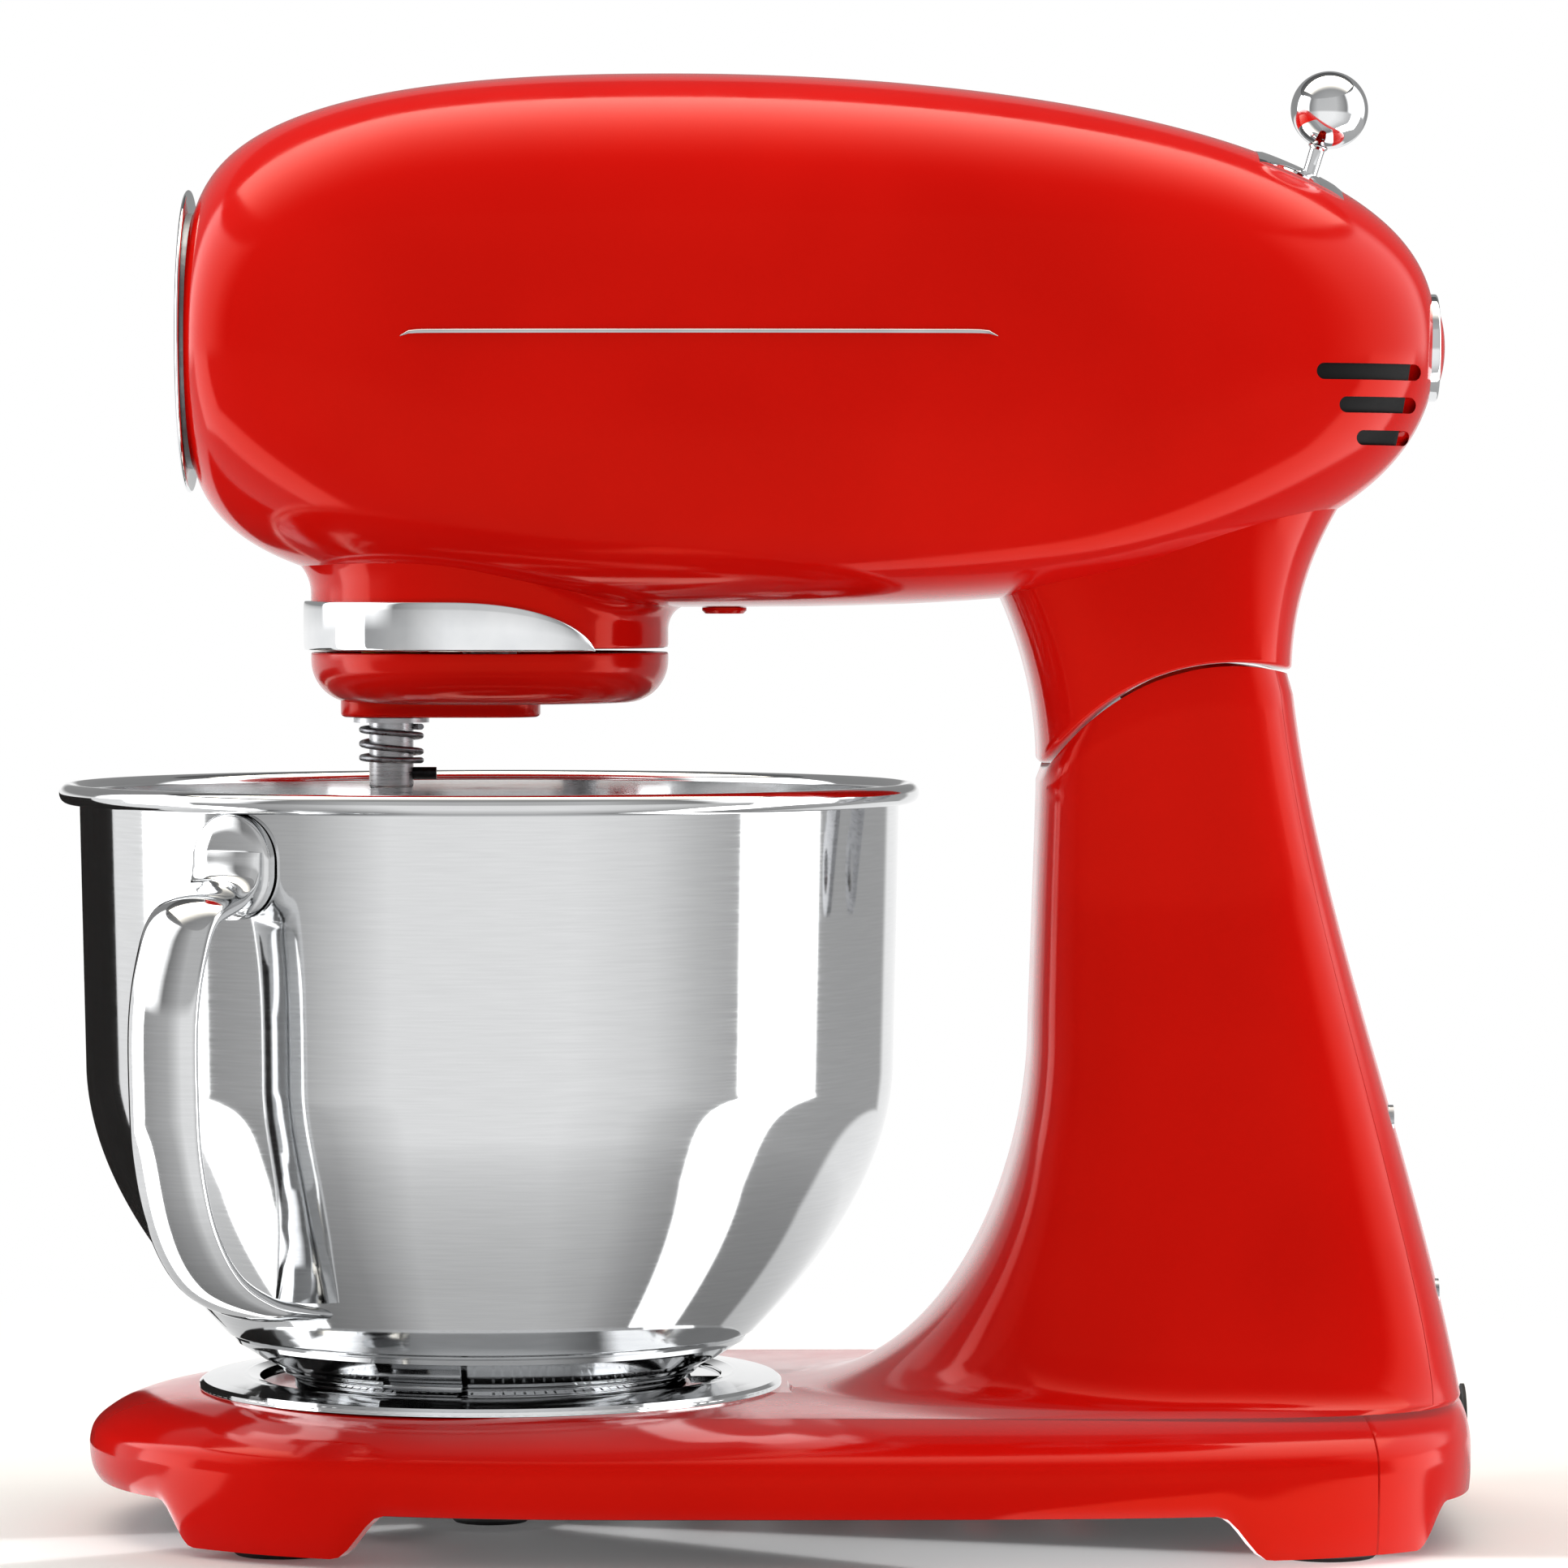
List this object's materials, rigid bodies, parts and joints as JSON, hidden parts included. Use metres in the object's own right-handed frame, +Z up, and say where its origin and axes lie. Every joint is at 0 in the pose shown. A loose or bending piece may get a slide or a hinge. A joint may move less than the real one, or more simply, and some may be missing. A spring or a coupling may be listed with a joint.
{
  "type": "stand mixer",
  "caption": "Tilt-head stand mixer with a cast column and base, a planetary drive under the head, and a steel bowl with a loop handle.",
  "frame": {"origin": "on the worktop, on the axis of the bowl and the planetary drive, at the sole of the middle foot", "axes": "+Z up; +X from the bowl towards the column; the machine is symmetric about the XZ plane apart from the bowl's handle"},
  "size_m": [0.3647, 0.2301, 0.3765],
  "materials": {
    "red_enamel": "gloss red enamel over cast aluminium",
    "red_plastic": "gloss red moulded plastic",
    "chrome": "bright chrome plate",
    "polished_steel": "mirror-polished stainless steel",
    "steel": "plain turned steel",
    "spring_steel": "drawn spring wire",
    "die_cast": "as-cast aluminium",
    "bronze": "sintered bronze",
    "copper": "enamelled copper winding",
    "lamination": "stacked electrical steel",
    "black_plastic": "matte black plastic",
    "black_oxide": "blackened steel",
    "rubber": "matte black rubber",
    "fan_plastic": "natural nylon",
    "board": "green circuit board",
    "sheet_dark": "dark painted steel sheet"
  },
  "bodies": {
    "stand": {"base_casting": "red_enamel", "rear_cover": "red_plastic", "underside_plate": "sheet_dark", "foot_pads": "rubber", "bowl_plate": "polished_steel", "bowl_plate_screws": "steel", "hinge_frame": "steel", "hinge_frame_screws": "steel", "hinge_bushes": "bronze", "hinge_pin": "steel", "hinge_shroud": "black_plastic", "cord_gland": "rubber", "rear_cover_screws": "steel"},
    "head": {"head_shell": "red_enamel", "neck_casting": "red_enamel", "hinge_bracket": "steel", "hinge_bracket_screws": "steel", "nose_housing": "red_enamel", "nose_band": "chrome", "hub_socket": "die_cast", "side_trims": "chrome", "drive_frame": "die_cast", "motor_brackets": "die_cast", "motor_field": "lamination", "field_coils": "copper", "motor_bearings": "steel", "carbon_brushes": "black_oxide", "ring_gear": "steel", "shaft_bearings": "steel", "speed_band": "chrome", "speed_switch": "black_plastic", "control_board": "board", "vent_liners": "black_plastic", "button_ring": "chrome", "button_spring": "spring_steel", "underside_plug": "red_plastic"},
    "carrier": {"planetary_cap": "red_plastic", "main_shaft": "steel", "main_gear": "steel", "planet_bush": "bronze"},
    "planet": {"attachment_shaft": "steel", "planet_gear": "steel", "cross_pin": "black_oxide", "shaft_spring": "spring_steel", "shaft_washer": "steel"},
    "layshaft": {"lay_shaft": "steel", "lay_gear": "steel", "bevel_gear": "steel"},
    "rotor": {"motor_armature": "copper", "motor_shaft": "steel", "motor_fan": "fan_plastic", "bevel_pinion": "steel"},
    "speed_lever": {"lever_stem": "chrome", "lever_knob": "chrome"},
    "button": {"release_button": "red_plastic"},
    "mixing_bowl": {"bowl": "polished_steel", "bowl_foot": "polished_steel", "bowl_handle": "polished_steel"},
    "cover": {"hub_cover": "chrome"}
  },
  "joints": [
    {"name": "head_tilt", "type": "hinge", "parent": "stand", "child": "head", "pos_m": [0.1914, 0, 0.1643], "axis": [0, 1, 0], "range_deg": [0, 40]},
    {"name": "carrier_spin", "type": "hinge", "parent": "head", "child": "carrier", "pos_m": [0, 0, 0.238], "axis": [0, 0, 1], "continuous": true},
    {"name": "planet_spin", "type": "hinge", "parent": "carrier", "child": "planet", "pos_m": [-0.02562, 0, 0.218], "axis": [0, 0, 1], "continuous": true},
    {"name": "layshaft_spin", "type": "hinge", "parent": "head", "child": "layshaft", "pos_m": [0.045, 0, 0.306], "axis": [0, 0, 1], "continuous": true},
    {"name": "rotor_spin", "type": "hinge", "parent": "head", "child": "rotor", "pos_m": [0.1, 0, 0.306], "axis": [1, 0, 0], "continuous": true},
    {"name": "speed_lever_swing", "type": "hinge", "parent": "head", "child": "speed_lever", "pos_m": [0.2, 0, 0.339], "axis": [1, 0, 0], "range_deg": [-16, 16]},
    {"name": "button_press", "type": "slide", "parent": "head", "child": "button", "axis": [-1, 0, 0], "range_m": [0, 0.003], "stiffness_N_per_m": 1200, "springref_m": -0.001, "deforming": ["button_spring"]},
    {"name": "bowl_twist", "type": "hinge", "parent": "stand", "child": "mixing_bowl", "pos_m": [0, 0, 0.036], "axis": [0, 0, 1], "range_deg": [0, 30]},
    {"name": "cover_pull", "type": "slide", "parent": "head", "child": "cover", "axis": [-1, 0, 0], "range_m": [0, 0.04]}
  ],
  "couplings": [
    {"joint": "planet_spin", "follows": "carrier_spin", "ratio": -3.2778},
    {"joint": "layshaft_spin", "follows": "carrier_spin", "ratio": -3},
    {"joint": "rotor_spin", "follows": "carrier_spin", "ratio": -7.5}
  ]
}
